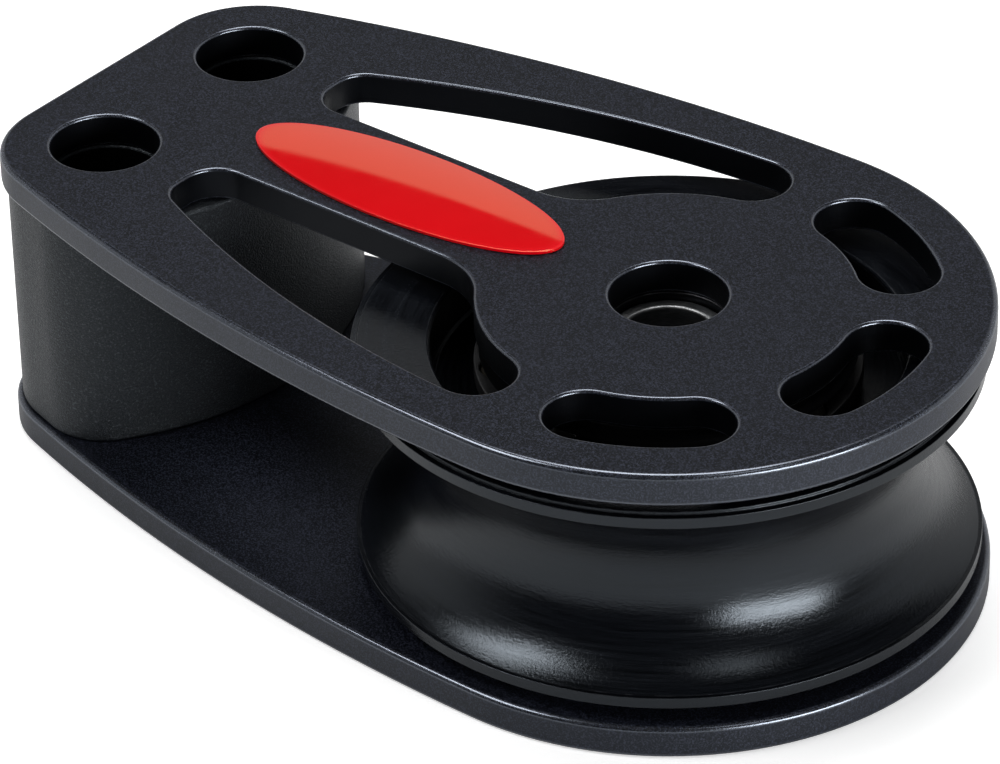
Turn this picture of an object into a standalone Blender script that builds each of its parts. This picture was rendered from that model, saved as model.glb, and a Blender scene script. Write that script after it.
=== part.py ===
"""Single sheave block: a turned sheave on a roller bearing between two teardrop plates.

Metres, +Z up. The origin is the middle of the deck face's bounding box. +X points to
the round end of the plates and the bolted heel lies toward -X. Every piece is drawn
about the sheave axis, which stands at AXLE_X.
"""
import math

import bmesh
import bpy
from mathutils import Vector

# ---- plates ---------------------------------------------------------------
PLATE_R = 0.0380            # round end of both plates
PLATE_T = 0.0042            # plate thickness
BLOCK_H = 0.0386            # deck face to top face
FLANK_R = 0.2580            # long side arcs, tangent to the round end
HEEL_X = -0.0874            # straight heel edge, from the sheave axis
AXLE_X = -(HEEL_X + PLATE_R) / 2.0
HEEL_CORNER_R = 0.0125
EDGE_ROUND = 0.0007         # rounding of the outer plate edges
EDGE_BREAK = 0.0003         # chamfer at every opening
BOLT_X = -0.0750
BOLT_Y = 0.01345
BOLT_HOLE_R = 0.0066        # clearance for a 12 mm deck bolt
AXLE_HOLE_R = 0.00695

# ---- windows and slots of the top plate --------------------------------------
SPINE_HALF = 0.0091         # half width of the spine between the two windows
WINDOW_HEEL_X = -0.0618
WINDOW_ARC_R = 0.1417       # outer edge of a window
WINDOW_ARC_X = -0.0008
WINDOW_ARC_Y = 0.11044      # distance of that arc's centre from the middle line
HUB_R = 0.02256             # round hub left in the middle of the top plate
WINDOW_FILLETS = (0.0044, 0.0038, 0.0048, 0.0100)
SLOT_MID_R = 0.02715
SLOT_HALF_W = 0.00485
SLOT_HALF_ANGLE = 13.0
SLOT_ANGLES = (-60.0, 0.0, 60.0)

# ---- heel spacer -------------------------------------------------------------
SEAM = 0.0001               # seam between stacked pieces
SPACER_INSET = 0.0007
SPACER_FACE_X = -0.0580     # crown of the face turned toward the sheave
SPACER_FACE_R = 0.0380
SPACER_FILLET = 0.0080

# ---- badge -------------------------------------------------------------------
BADGE_X = -0.0388
BADGE_HALF_L = 0.0229
BADGE_HALF_W = 0.0074
BADGE_EDGE_H = 0.00035
BADGE_DOME_H = 0.00085
BADGE_RINGS = (1.0, 0.965, 0.88, 0.72, 0.48, 0.22)

# ---- sheave ------------------------------------------------------------------
MID_Z = BLOCK_H / 2.0
RIM_R = 0.0370
RIM_TOP = 0.0130            # half width over the rim lands
RIM_LAND = 0.0116           # half width where the groove begins
RIM_STEP = 0.0001           # edge break of the rim land
SIDE_TOP = 0.0134           # half width over the side faces
SIDE_R = 0.0362             # outer edge of a side face
LIP_R = 0.0365              # start of the rope groove
THROAT_R = 0.0295
RECESS_R = 0.0277
RECESS_TOP = 0.0076         # half height of the web between the side recesses
RECESS_CHAMFER = 0.0004
GROOVE_STEPS = 10

# ---- roller bearing -----------------------------------------------------------
RACE_R = 0.0110             # inner race, outer radius
RACE_BORE_R = 0.00705
TRACK_R = 0.0161            # roller track bored in the sheave
ROLLER_R = 0.0025
ROLLER_PITCH_R = 0.01355
ROLLER_L = 0.0140
ROLLER_CHAMFER = 0.0003
ROLLER_COUNT = 12
CAGE_IN_R = 0.0114
CAGE_OUT_R = 0.0157
CAGE_HALF_H = 0.0083
POCKET_PLAY = 0.00015

# ---- axle bush ------------------------------------------------------------------
BUSH_R = 0.00695
BUSH_BORE_R = 0.0053        # takes a 10 mm bolt
BUSH_SINK = 0.0010          # end faces below the plates' inner faces
BUSH_CHAMFER = 0.0004

# ---- thrust bearings ---------------------------------------------------------------
BALL_R = 0.00238            # 3/16 inch ball
BALL_PITCH_R = 0.0196
BALL_COUNT = 8
BALL_PLAY = 0.00005
BALL_CAGE_IN_R = 0.0166
BALL_CAGE_OUT_R = 0.0227
BALL_CAGE_HALF_H = 0.00095
BALL_POCKET_R = 0.00255
WASHER_IN_R = 0.01125
WASHER_OUT_R = 0.0221

# ---- faceting --------------------------------------------------------------------------
SAG = 0.00005               # largest distance between an arc and its chords
SHEAVE_STEPS = 56
RING_STEPS = 48
BUSH_STEPS = 36
ROLLER_STEPS = 16
BALL_SEGMENTS = 12
BALL_BANDS = 6
BALL_POCKET_STEPS = 12
BADGE_STEPS = 36
SHARP_ANGLE = math.radians(32.0)
CUT = 0.0010                # how far a cutter runs past the faces it opens


# ---- plane outlines ---------------------------------------------------------------
def line(x, y, dx, dy):
    """Endless straight edge; the outline's inside is on its left."""
    return {"kind": "line", "p": Vector((x, y)), "d": Vector((dx, dy)).normalized()}


def arc(x, y, radius, turn):
    """Edge on a circle; turn 1 has the centre inside the outline, -1 outside."""
    return {"kind": "arc", "c": Vector((x, y)), "r": radius, "turn": turn}


def shifted(edge, distance):
    """The same edge moved toward the inside of the outline."""
    if edge["kind"] == "line":
        normal = Vector((-edge["d"].y, edge["d"].x))
        return {"kind": "line", "p": edge["p"] + normal * distance, "d": edge["d"]}
    radius = edge["r"] - edge["turn"] * distance
    return {"kind": "arc", "c": edge["c"], "r": radius, "turn": edge["turn"]}


def line_line(a, b):
    cross = a["d"].x * b["d"].y - a["d"].y * b["d"].x
    gap = b["p"] - a["p"]
    t = (gap.x * b["d"].y - gap.y * b["d"].x) / cross
    return [a["p"] + a["d"] * t]


def line_arc(a, b):
    foot = a["p"] + a["d"] * (b["c"] - a["p"]).dot(a["d"])
    half = math.sqrt(max(0.0, b["r"] ** 2 - (foot - b["c"]).length_squared))
    return [foot + a["d"] * half, foot - a["d"] * half]


def arc_arc(a, b):
    gap = b["c"] - a["c"]
    span = gap.length
    along = (span ** 2 + a["r"] ** 2 - b["r"] ** 2) / (2.0 * span)
    half = math.sqrt(max(0.0, a["r"] ** 2 - along ** 2))
    unit = gap / span
    foot = a["c"] + unit * along
    side = Vector((-unit.y, unit.x)) * half
    return [foot + side, foot - side]


def crossing(a, b, near):
    """Crossing of two edges that lies closest to a given point."""
    kinds = (a["kind"], b["kind"])
    if kinds == ("line", "line"):
        found = line_line(a, b)
    elif kinds == ("line", "arc"):
        found = line_arc(a, b)
    elif kinds == ("arc", "line"):
        found = line_arc(b, a)
    else:
        found = arc_arc(a, b)
    return min(found, key=lambda p: (p - near).length)


def touch_point(edge, centre):
    """Where a fillet about centre touches the edge."""
    if edge["kind"] == "line":
        return edge["p"] + edge["d"] * (centre - edge["p"]).dot(edge["d"])
    return edge["c"] + (centre - edge["c"]).normalized() * edge["r"]


def sweep(centre, radius, start, end, turn):
    """Points on a circle from start up to, but not with, end."""
    first = math.atan2(start.y - centre.y, start.x - centre.x)
    last = math.atan2(end.y - centre.y, end.x - centre.x)
    angle = (last - first) * turn % (2.0 * math.pi)
    if angle > 2.0 * math.pi - 0.001:
        angle = 0.0
    step = 2.0 * math.acos(1.0 - SAG / radius)
    count = max(1, math.ceil(angle / step - 0.001))
    points = []
    for index in range(count):
        a = first + turn * angle * index / count
        points.append(centre + Vector((math.cos(a), math.sin(a))) * radius)
    return points


def outline(edges, fillets, corners):
    """Counter-clockwise loop: edge i runs into edge i + 1 through fillet i."""
    count = len(edges)
    centres = []
    for index in range(count):
        a = shifted(edges[index], fillets[index])
        b = shifted(edges[(index + 1) % count], fillets[index])
        centres.append(crossing(a, b, Vector(corners[index])))
    loop = []
    for index in range(count):
        edge = edges[index]
        after = edges[(index + 1) % count]
        start = touch_point(edge, centres[index - 1])
        end = touch_point(edge, centres[index])
        if edge["kind"] == "line":
            loop.append(start)
        elif (end - start).length > SAG:
            loop += sweep(edge["c"], edge["r"], start, end, edge["turn"])
        target = touch_point(after, centres[index])
        loop += sweep(centres[index], fillets[index], end, target, 1)
    return loop


def circle(x, y, radius):
    step = 2.0 * math.acos(1.0 - SAG / radius)
    count = 4 * math.ceil(math.pi / 2.0 / step)
    angles = [2.0 * math.pi * index / count for index in range(count)]
    return [Vector((x + math.cos(a) * radius, y + math.sin(a) * radius)) for a in angles]


def grown(loop, distance):
    """The loop moved outward by a distance, mitred at its points."""
    count = len(loop)
    result = []
    for index in range(count):
        back = (loop[index] - loop[index - 1]).normalized()
        ahead = (loop[(index + 1) % count] - loop[index]).normalized()
        normal = Vector((back.y + ahead.y, -back.x - ahead.x)).normalized()
        stretch = max(0.5, normal.dot(Vector((ahead.y, -ahead.x))))
        result.append(loop[index] + normal * distance / stretch)
    return result


def plate_loop(inset=0.0):
    """Teardrop outline shared by both plates."""
    flank_centre = FLANK_R - PLATE_R
    edges = [
        arc(0.0, flank_centre, FLANK_R - inset, 1),
        arc(0.0, -flank_centre, FLANK_R - inset, 1),
        line(HEEL_X + inset, 0.0, 0.0, -1.0),
    ]
    fillets = [PLATE_R - inset, HEEL_CORNER_R - inset, HEEL_CORNER_R - inset]
    corners = [(0.0, 0.0), (HEEL_X, PLATE_R), (HEEL_X, -PLATE_R)]
    return outline(edges, fillets, corners)


def window_loop(side):
    """Window between the spine, the hub and the flank; side -1 or 1."""
    heel, outer, nose, inner = WINDOW_FILLETS
    edges = [
        line(0.0, -SPINE_HALF, -1.0, 0.0),
        line(WINDOW_HEEL_X, 0.0, 0.0, -1.0),
        arc(WINDOW_ARC_X, WINDOW_ARC_Y, WINDOW_ARC_R, 1),
        arc(0.0, 0.0, HUB_R, -1),
    ]
    corners = [
        (WINDOW_HEEL_X, -SPINE_HALF),
        (WINDOW_HEEL_X, -PLATE_R / 2.0),
        (0.0, -PLATE_R),
        (-HUB_R, -SPINE_HALF),
    ]
    loop = outline(edges, [heel, outer, nose, inner], corners)
    if side < 0:
        return loop
    return [Vector((p.x, -p.y)) for p in reversed(loop)]


def slot_loop(middle):
    """Kidney slot concentric with the axle."""
    half = math.radians(SLOT_HALF_ANGLE)
    turn = math.radians(middle)
    outer = SLOT_MID_R + SLOT_HALF_W
    inner = SLOT_MID_R - SLOT_HALF_W
    first = Vector((math.cos(turn - half), math.sin(turn - half)))
    last = Vector((math.cos(turn + half), math.sin(turn + half)))
    origin = Vector((0.0, 0.0))
    loop = sweep(origin, outer, first, last, 1)
    loop += sweep(last * SLOT_MID_R, SLOT_HALF_W, last * outer, last * inner, 1)
    loop += sweep(origin, inner, last, first, -1)
    loop += sweep(first * SLOT_MID_R, SLOT_HALF_W, first * inner, first * outer, 1)
    return loop


def spacer_loop():
    """Heel block: plate outline at the heel, crowned face toward the sheave."""
    inset = SPACER_INSET
    flank_centre = FLANK_R - PLATE_R
    edges = [
        line(HEEL_X + inset, 0.0, 0.0, -1.0),
        arc(0.0, flank_centre, FLANK_R - inset, 1),
        arc(SPACER_FACE_X - SPACER_FACE_R, 0.0, SPACER_FACE_R, 1),
        arc(0.0, -flank_centre, FLANK_R - inset, 1),
    ]
    heel = HEEL_CORNER_R - inset
    fillets = [heel, SPACER_FILLET, SPACER_FILLET, heel]
    corners = [
        (HEEL_X, -PLATE_R),
        (SPACER_FACE_X, -PLATE_R),
        (SPACER_FACE_X, PLATE_R),
        (HEEL_X, PLATE_R),
    ]
    return outline(edges, fillets, corners)


# ---- solids --------------------------------------------------------------------------
def add_stack(bm, loops, heights):
    """Closed solid through equal loops, one at each height, from the bottom up."""
    rings = []
    for loop, height in zip(loops, heights):
        rings.append([bm.verts.new((p.x, p.y, height)) for p in loop])
    count = len(rings[0])
    for low, high in zip(rings, rings[1:]):
        for index in range(count):
            after = (index + 1) % count
            bm.faces.new((low[index], low[after], high[after], high[index]))
    bm.faces.new(list(reversed(rings[0])))
    bm.faces.new(rings[-1])


def add_opening(bm, loop, bottom, top):
    """Cutter that leaves a small chamfer at both faces it goes through."""
    wide = grown(loop, EDGE_BREAK + CUT)
    loops = [wide, loop, loop, wide]
    heights = [bottom - CUT, bottom + EDGE_BREAK, top - EDGE_BREAK, top + CUT]
    add_stack(bm, loops, heights)


def spun(profile, steps):
    """Solid of revolution about Z from a closed (radius, height) profile."""
    bm = bmesh.new()
    verts = [bm.verts.new((r, 0.0, z)) for r, z in profile]
    edges = [bm.edges.new((verts[i - 1], verts[i])) for i in range(len(verts))]
    bmesh.ops.spin(
        bm,
        geom=verts + edges,
        cent=(0.0, 0.0, 0.0),
        axis=(0.0, 0.0, 1.0),
        angle=2.0 * math.pi,
        steps=steps,
        use_merge=True,
    )
    bmesh.ops.recalc_face_normals(bm, faces=bm.faces[:])
    return bm


def finish(bm, name, paint, location=(0.0, 0.0, 0.0)):
    """Turn a bmesh into a named object with its own material."""
    mesh = bpy.data.meshes.new(name)
    bm.to_mesh(mesh)
    bm.free()
    mesh.shade_smooth()
    mesh.set_sharp_from_angle(angle=SHARP_ANGLE)
    if paint:
        mesh.materials.append(paint)
    return placed(mesh, name, location)


def placed(mesh, name, location):
    """Object at a place given from the sheave axis."""
    obj = bpy.data.objects.new(name, mesh)
    obj.location = Vector(location) + Vector((AXLE_X, 0.0, 0.0))
    bpy.context.scene.collection.objects.link(obj)
    return obj


def cut(host, bm, name, location=(0.0, 0.0, 0.0)):
    """Cut a hidden cutter out of a piece."""
    cutter = finish(bm, name, None, location)
    cutter.hide_render = True
    cutter.display_type = "WIRE"
    modifier = host.modifiers.new("openings", "BOOLEAN")
    modifier.operation = "DIFFERENCE"
    modifier.solver = "EXACT"
    modifier.object = cutter


def material(name, colour, roughness, metallic):
    made = bpy.data.materials.new(name)
    made.use_nodes = True
    shader = made.node_tree.nodes["Principled BSDF"]
    shader.inputs["Base Color"].default_value = (*colour, 1.0)
    shader.inputs["Roughness"].default_value = roughness
    shader.inputs["Metallic"].default_value = metallic
    made.diffuse_color = (*colour, 1.0)
    return made


# ---- pieces ------------------------------------------------------------------------------
def plate_body(bottom, top):
    """Plate blank with rounded outer edges."""
    loop = plate_loop()
    soft = EDGE_ROUND * 0.29
    loops = [
        grown(loop, -EDGE_ROUND),
        grown(loop, -soft),
        loop,
        loop,
        grown(loop, -soft),
        grown(loop, -EDGE_ROUND),
    ]
    heights = [
        bottom,
        bottom + soft,
        bottom + EDGE_ROUND,
        top - EDGE_ROUND,
        top - soft,
        top,
    ]
    bm = bmesh.new()
    add_stack(bm, loops, heights)
    return bm


def add_fixing_holes(bm, bottom, top):
    for side in (-1, 1):
        add_opening(bm, circle(BOLT_X, side * BOLT_Y, BOLT_HOLE_R), bottom, top)


def make_base_plate(paint):
    plate = finish(plate_body(0.0, PLATE_T), "base_plate", paint)
    bm = bmesh.new()
    add_fixing_holes(bm, 0.0, PLATE_T)
    add_opening(bm, circle(0.0, 0.0, AXLE_HOLE_R), 0.0, PLATE_T)
    cut(plate, bm, "base_openings")


def make_top_plate(paint):
    bottom = BLOCK_H - PLATE_T
    plate = finish(plate_body(bottom, BLOCK_H), "top_plate", paint)
    bm = bmesh.new()
    add_fixing_holes(bm, bottom, BLOCK_H)
    add_opening(bm, circle(0.0, 0.0, AXLE_HOLE_R), bottom, BLOCK_H)
    for side in (-1, 1):
        add_opening(bm, window_loop(side), bottom, BLOCK_H)
    for middle in SLOT_ANGLES:
        add_opening(bm, slot_loop(middle), bottom, BLOCK_H)
    cut(plate, bm, "top_openings")


def make_spacer(paint):
    bottom = PLATE_T + SEAM
    top = BLOCK_H - PLATE_T - SEAM
    loop = spacer_loop()
    small = grown(loop, -EDGE_BREAK)
    bm = bmesh.new()
    heights = [bottom, bottom + EDGE_BREAK, top - EDGE_BREAK, top]
    add_stack(bm, [small, loop, loop, small], heights)
    spacer = finish(bm, "heel_spacer", paint)
    bm = bmesh.new()
    add_fixing_holes(bm, bottom, top)
    cut(spacer, bm, "spacer_openings")


def make_badge(paint):
    base = BLOCK_H + SEAM
    angles = [2.0 * math.pi * index / BADGE_STEPS for index in range(BADGE_STEPS)]
    loops = []
    heights = []
    for scale in (1.0,) + BADGE_RINGS:
        long = BADGE_HALF_L * scale
        wide = BADGE_HALF_W * scale
        loops.append([Vector((math.cos(a) * long, math.sin(a) * wide)) for a in angles])
        heights.append(BADGE_EDGE_H + BADGE_DOME_H * (1.0 - scale ** 2))
    heights[0] = 0.0
    bm = bmesh.new()
    add_stack(bm, loops, heights)
    finish(bm, "badge", paint, (BADGE_X, 0.0, base))


def sheave_half():
    """Sheave section above its middle plane, from the bore out to the throat."""
    wall = [
        (TRACK_R, RECESS_TOP - RECESS_CHAMFER),
        (TRACK_R + RECESS_CHAMFER, RECESS_TOP),
        (RECESS_R - RECESS_CHAMFER, RECESS_TOP),
        (RECESS_R, RECESS_TOP + RECESS_CHAMFER),
        (RECESS_R, SIDE_TOP - RECESS_CHAMFER),
        (RECESS_R + RECESS_CHAMFER, SIDE_TOP),
        (SIDE_R, SIDE_TOP),
        (SIDE_R + RIM_STEP, RIM_TOP),
        (RIM_R - RIM_STEP, RIM_TOP),
        (RIM_R, RIM_TOP - RIM_STEP),
        (RIM_R, RIM_LAND + RIM_STEP),
        (RIM_R - RIM_STEP, RIM_LAND),
    ]
    depth = LIP_R - THROAT_R
    radius = (RIM_LAND ** 2 + depth ** 2) / (2.0 * depth)
    span = math.asin(RIM_LAND / radius)
    groove = []
    for index in range(GROOVE_STEPS // 2):
        a = span * (1.0 - 2.0 * index / GROOVE_STEPS)
        groove.append((THROAT_R + radius * (1.0 - math.cos(a)), radius * math.sin(a)))
    return wall + groove


def make_sheave(paint):
    half = sheave_half()
    profile = half + [(THROAT_R, 0.0)] + [(r, -z) for r, z in reversed(half)]
    finish(spun(profile, SHEAVE_STEPS), "sheave", paint, (0.0, 0.0, MID_Z))


def ring_profile(inner, outer, half, chamfer=0.0):
    """Rectangular ring section, chamfered at both outer corners when asked."""
    if chamfer == 0.0:
        return [(inner, -half), (outer, -half), (outer, half), (inner, half)]
    return [
        (inner, -half + chamfer),
        (inner + chamfer, -half),
        (outer - chamfer, -half),
        (outer, -half + chamfer),
        (outer, half - chamfer),
        (outer - chamfer, half),
        (inner + chamfer, half),
        (inner, half - chamfer),
    ]


def make_inner_race(paint):
    half = MID_Z - PLATE_T - SEAM
    profile = ring_profile(RACE_BORE_R, RACE_R, half, EDGE_BREAK)
    finish(spun(profile, RING_STEPS), "inner_race", paint, (0.0, 0.0, MID_Z))


def make_axle_bush(paint):
    half = MID_Z - PLATE_T - BUSH_SINK
    profile = ring_profile(BUSH_BORE_R, BUSH_R, half, BUSH_CHAMFER)
    finish(spun(profile, BUSH_STEPS), "axle_bush", paint, (0.0, 0.0, MID_Z))


def make_thrust_washers(paint):
    """One washer under each plate; the balls run on its inner side."""
    inner_face = RECESS_TOP + 2.0 * (BALL_R + BALL_PLAY)
    outer_face = MID_Z - PLATE_T - SEAM
    half = (outer_face - inner_face) / 2.0
    middle = (outer_face + inner_face) / 2.0
    profile = ring_profile(WASHER_IN_R, WASHER_OUT_R, half)
    for name, side in (("lower", -1), ("upper", 1)):
        where = (0.0, 0.0, MID_Z + side * middle)
        finish(spun(profile, RING_STEPS), name + "_thrust_washer", paint, where)


def make_roller_cage(paint):
    profile = ring_profile(CAGE_IN_R, CAGE_OUT_R, CAGE_HALF_H)
    where = (0.0, 0.0, MID_Z)
    cage = finish(spun(profile, RING_STEPS), "roller_cage", paint, where)
    half_w = ROLLER_R + POCKET_PLAY
    half_h = ROLLER_L / 2.0 + POCKET_PLAY
    bm = bmesh.new()
    for index in range(ROLLER_COUNT):
        a = 2.0 * math.pi * index / ROLLER_COUNT
        along = Vector((math.cos(a), math.sin(a)))
        across = Vector((-along.y, along.x)) * half_w
        near = along * (CAGE_IN_R - POCKET_PLAY * 2.0)
        far = along * (CAGE_OUT_R + CUT)
        loop = [near - across, far - across, far + across, near + across]
        add_stack(bm, [loop, loop], [-half_h, half_h])
    cut(cage, bm, "roller_pockets", where)


def make_rollers(paint):
    half = ROLLER_L / 2.0
    bm = bmesh.new()
    rings = []
    radii = (ROLLER_R - ROLLER_CHAMFER, ROLLER_R, ROLLER_R, ROLLER_R - ROLLER_CHAMFER)
    for radius in radii:
        turns = [2.0 * math.pi * index / ROLLER_STEPS for index in range(ROLLER_STEPS)]
        rings.append([Vector((math.cos(a), math.sin(a))) * radius for a in turns])
    heights = [-half, -half + ROLLER_CHAMFER, half - ROLLER_CHAMFER, half]
    add_stack(bm, rings, heights)
    first = None
    for index in range(ROLLER_COUNT):
        a = 2.0 * math.pi * index / ROLLER_COUNT
        where = (math.cos(a) * ROLLER_PITCH_R, math.sin(a) * ROLLER_PITCH_R, MID_Z)
        name = "roller_%02d" % (index + 1)
        if first is None:
            first = finish(bm, name, paint, where)
        else:
            placed(first.data, name, where)


def make_thrust_sets(cage_paint, ball_paint):
    """Caged balls that carry the side load, one set in each sheave recess."""
    level = RECESS_TOP + BALL_R + BALL_PLAY
    for name, side in (("lower", -1), ("upper", 1)):
        where = (0.0, 0.0, MID_Z + side * level)
        make_ball_cage(name + "_ball_cage", where, cage_paint)
        make_balls(name + "_ball_%02d", where[2], ball_paint)


def make_ball_cage(name, where, paint):
    profile = ring_profile(BALL_CAGE_IN_R, BALL_CAGE_OUT_R, BALL_CAGE_HALF_H)
    cage = finish(spun(profile, RING_STEPS), name, paint, where)
    bm = bmesh.new()
    turns = [2.0 * math.pi * i / BALL_POCKET_STEPS for i in range(BALL_POCKET_STEPS)]
    for index in range(BALL_COUNT):
        a = 2.0 * math.pi * index / BALL_COUNT
        centre = Vector((math.cos(a), math.sin(a))) * BALL_PITCH_R
        loop = [centre + Vector((math.cos(t), math.sin(t))) * BALL_POCKET_R for t in turns]
        high = BALL_CAGE_HALF_H + CUT
        add_stack(bm, [loop, loop], [-high, high])
    cut(cage, bm, name + "_pockets", where)


def make_balls(pattern, height, paint):
    """Balls with their poles on the radial axis they roll about."""
    bm = bmesh.new()
    bmesh.ops.create_uvsphere(
        bm,
        u_segments=BALL_SEGMENTS,
        v_segments=BALL_BANDS,
        radius=BALL_R,
    )
    first = None
    for index in range(BALL_COUNT):
        a = 2.0 * math.pi * index / BALL_COUNT
        where = (math.cos(a) * BALL_PITCH_R, math.sin(a) * BALL_PITCH_R, height)
        name = pattern % (index + 1)
        if first is None:
            first = finish(bm, name, paint, where)
            ball = first
        else:
            ball = placed(first.data, name, where)
        ball.rotation_euler = (0.0, math.pi / 2.0, a)


def clear_scene():
    for obj in list(bpy.data.objects):
        bpy.data.objects.remove(obj, do_unlink=True)


def main():
    clear_scene()
    make_base_plate(material("anodised_base", (0.012, 0.013, 0.017), 0.40, 0.0))
    make_top_plate(material("anodised_top", (0.012, 0.013, 0.017), 0.40, 0.0))
    make_spacer(material("blasted_spacer", (0.008, 0.009, 0.010), 0.45, 0.0))
    make_badge(material("badge_resin", (0.72, 0.002, 0.008), 0.10, 0.0))
    make_sheave(material("turned_sheave", (0.004, 0.004, 0.005), 0.25, 0.0))
    make_inner_race(material("race_steel", (0.018, 0.018, 0.020), 0.34, 0.9))
    make_axle_bush(material("bush_steel", (0.20, 0.205, 0.21), 0.42, 1.0))
    make_thrust_washers(material("washer_steel", (0.010, 0.010, 0.011), 0.40, 0.8))
    make_roller_cage(material("cage_acetal", (0.006, 0.006, 0.007), 0.46, 0.0))
    make_rollers(material("roller_polymer", (0.020, 0.017, 0.013), 0.38, 0.0))
    ball_cage = material("ball_cage_acetal", (0.006, 0.006, 0.007), 0.46, 0.0)
    ball = material("ball_polymer", (0.020, 0.017, 0.013), 0.38, 0.0)
    make_thrust_sets(ball_cage, ball)


main()
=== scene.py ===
"""Single sheave block: fine surfaces, materials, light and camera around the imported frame."""
import math

import bpy
from mathutils import Matrix, Vector
from mathutils.geometry import tessellate_polygon


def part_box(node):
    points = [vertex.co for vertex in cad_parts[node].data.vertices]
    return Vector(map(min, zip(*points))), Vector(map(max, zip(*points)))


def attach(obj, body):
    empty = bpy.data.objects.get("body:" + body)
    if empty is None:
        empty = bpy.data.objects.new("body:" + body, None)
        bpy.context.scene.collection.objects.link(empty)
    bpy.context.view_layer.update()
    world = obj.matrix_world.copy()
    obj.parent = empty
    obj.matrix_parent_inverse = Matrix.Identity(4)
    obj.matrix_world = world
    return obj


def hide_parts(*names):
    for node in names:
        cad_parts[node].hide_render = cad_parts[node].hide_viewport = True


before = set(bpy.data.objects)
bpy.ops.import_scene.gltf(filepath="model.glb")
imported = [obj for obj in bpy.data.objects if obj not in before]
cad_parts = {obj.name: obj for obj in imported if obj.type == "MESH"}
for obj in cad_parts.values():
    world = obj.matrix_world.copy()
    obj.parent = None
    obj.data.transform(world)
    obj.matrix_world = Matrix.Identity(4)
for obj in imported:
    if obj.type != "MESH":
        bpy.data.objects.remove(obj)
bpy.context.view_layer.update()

# ---- plates and spacer, in metres and degrees, drawn about the sheave axis ------------
# x runs from the heel (negative) to the round end. A name with R is a radius, and a name with
# HALF is half of a length, a width or an angle.
PLATE_R = 0.0380
FLANK_R = 0.2580
HEEL_X = -0.0874
HEEL_CORNER_R = 0.0125
OUTER_ROUND = 0.00070
HOLE_ROUND = 0.00040
BOLT_X = -0.0750
BOLT_Y = 0.01345
BOLT_HOLE_R = 0.0066
AXLE_HOLE_R = 0.00695
SPINE_HALF = 0.0091
WINDOW_HEEL_X = -0.0618
# centre x, centre y and radius of a window's long outer side
WINDOW_ARC = (-0.0008, 0.11044, 0.1417)
HUB_R = 0.02256
# corners of a window, from the one between spine and heel round to the one at the hub
WINDOW_FILLETS = (0.0044, 0.0038, 0.0048, 0.0100)
SLOT_MID_R = 0.02715
SLOT_HALF_W = 0.00485
SLOT_HALF_ANGLE = 13.0
SLOT_ANGLES = (-60.0, 0.0, 60.0)
SPACER_INSET = 0.0007
SPACER_FACE_X = -0.0580
SPACER_FACE_R = 0.0380
SPACER_FILLET = 0.0080
SPACER_ROUND = 0.00040

# ---- fineness of the surfaces ---------------------------------------------------------
# the most that a straight stretch may cut into the arc it stands for
SAG = 0.000008
ROUND_STEPS = 5
CORNER_STEPS = 4
HOLE_STEPS = 96
RING_STEPS = 144
SHEAVE_STEPS = 288
GROOVE_STEPS = 24
POCKET_STEPS = 48
ROLLER_STEPS = 64
BALL_STEPS = 48
BADGE_STEPS = 160
BADGE_RINGS = 22

# ---- badge ----------------------------------------------------------------------------
BADGE_X = -0.0388
BADGE_HALF_L = 0.0229
BADGE_HALF_W = 0.0074
BADGE_EDGE_H = 0.00035
BADGE_DOME_H = 0.00085
BADGE_ROUND = 0.00012
BADGE_DOME_START = 0.982
BADGE_ROUND_TURNS = (0.4, 0.8, 1.2)
BADGE_FIRST_EDGE = 0.25

# ---- sheave ---------------------------------------------------------------------------
RIM_R = 0.0370
RIM_TOP = 0.0130
RIM_LAND = 0.0116
RIM_BREAK = 0.0001
SIDE_TOP = 0.0134
SIDE_R = 0.0362
LIP_R = 0.0365
THROAT_R = 0.0295
RECESS_R = 0.0277
RECESS_TOP = 0.0076
RECESS_CHAMFER = 0.0004
TRACK_R = 0.0161
SHEAVE_BREAK = 0.00010

# ---- bearing --------------------------------------------------------------------------
RACE_R = 0.0110
RACE_BORE_R = 0.00705
RACE_BREAK = 0.0003
BUSH_R = 0.00695
BUSH_BORE_R = 0.0053
BUSH_BREAK = 0.0004
WASHER_IN_R = 0.01125
WASHER_OUT_R = 0.0221
WASHER_BREAK = 0.0001
ROLLER_R = 0.0025
ROLLER_PITCH_R = 0.01355
ROLLER_HALF = 0.0070
ROLLER_COUNT = 12
ROLLER_BREAK = 0.0003
ROLLER_CAGE_IN_R = 0.0114
ROLLER_CAGE_OUT_R = 0.0157
ROLLER_CAGE_HALF = 0.0083
ROLLER_CAGE_BREAK = 0.0002
POCKET_PLAY = 0.00015
POCKET_REACH = 0.001
CAGE_SHARP_ANGLE = 35.0
BALL_R = 0.00238
BALL_PITCH_R = 0.0196
BALL_COUNT = 8
BALL_BREAK = 0.0001
BALL_CAGE_IN_R = 0.0166
BALL_CAGE_OUT_R = 0.0227
BALL_CAGE_ROUND = 0.0002
BALL_POCKET_R = 0.00255
BALL_POCKET_ROUND = 0.00015

# ---- small limits of the drawing ------------------------------------------------------
ORIGIN = Vector((0.0, 0.0))
SMALL_ANGLE = 0.001
SHORT_ARC = 0.00005
ON_AXIS = 0.0000001
SMOOTH_BEND = 14.0
LONGEST_CUT = 0.45


def middle(node):
    low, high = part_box(node)
    return (low + high) / 2.0


AXLE_X = middle("axle_bush").x
MID_Z = middle("sheave").z


# ---- plane outlines -------------------------------------------------------------------
def line(x, y, dx, dy):
    return {"kind": "line", "p": Vector((x, y)), "d": Vector((dx, dy)).normalized()}


def arc(x, y, radius, turn):
    return {"kind": "arc", "c": Vector((x, y)), "r": radius, "turn": turn}


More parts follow.
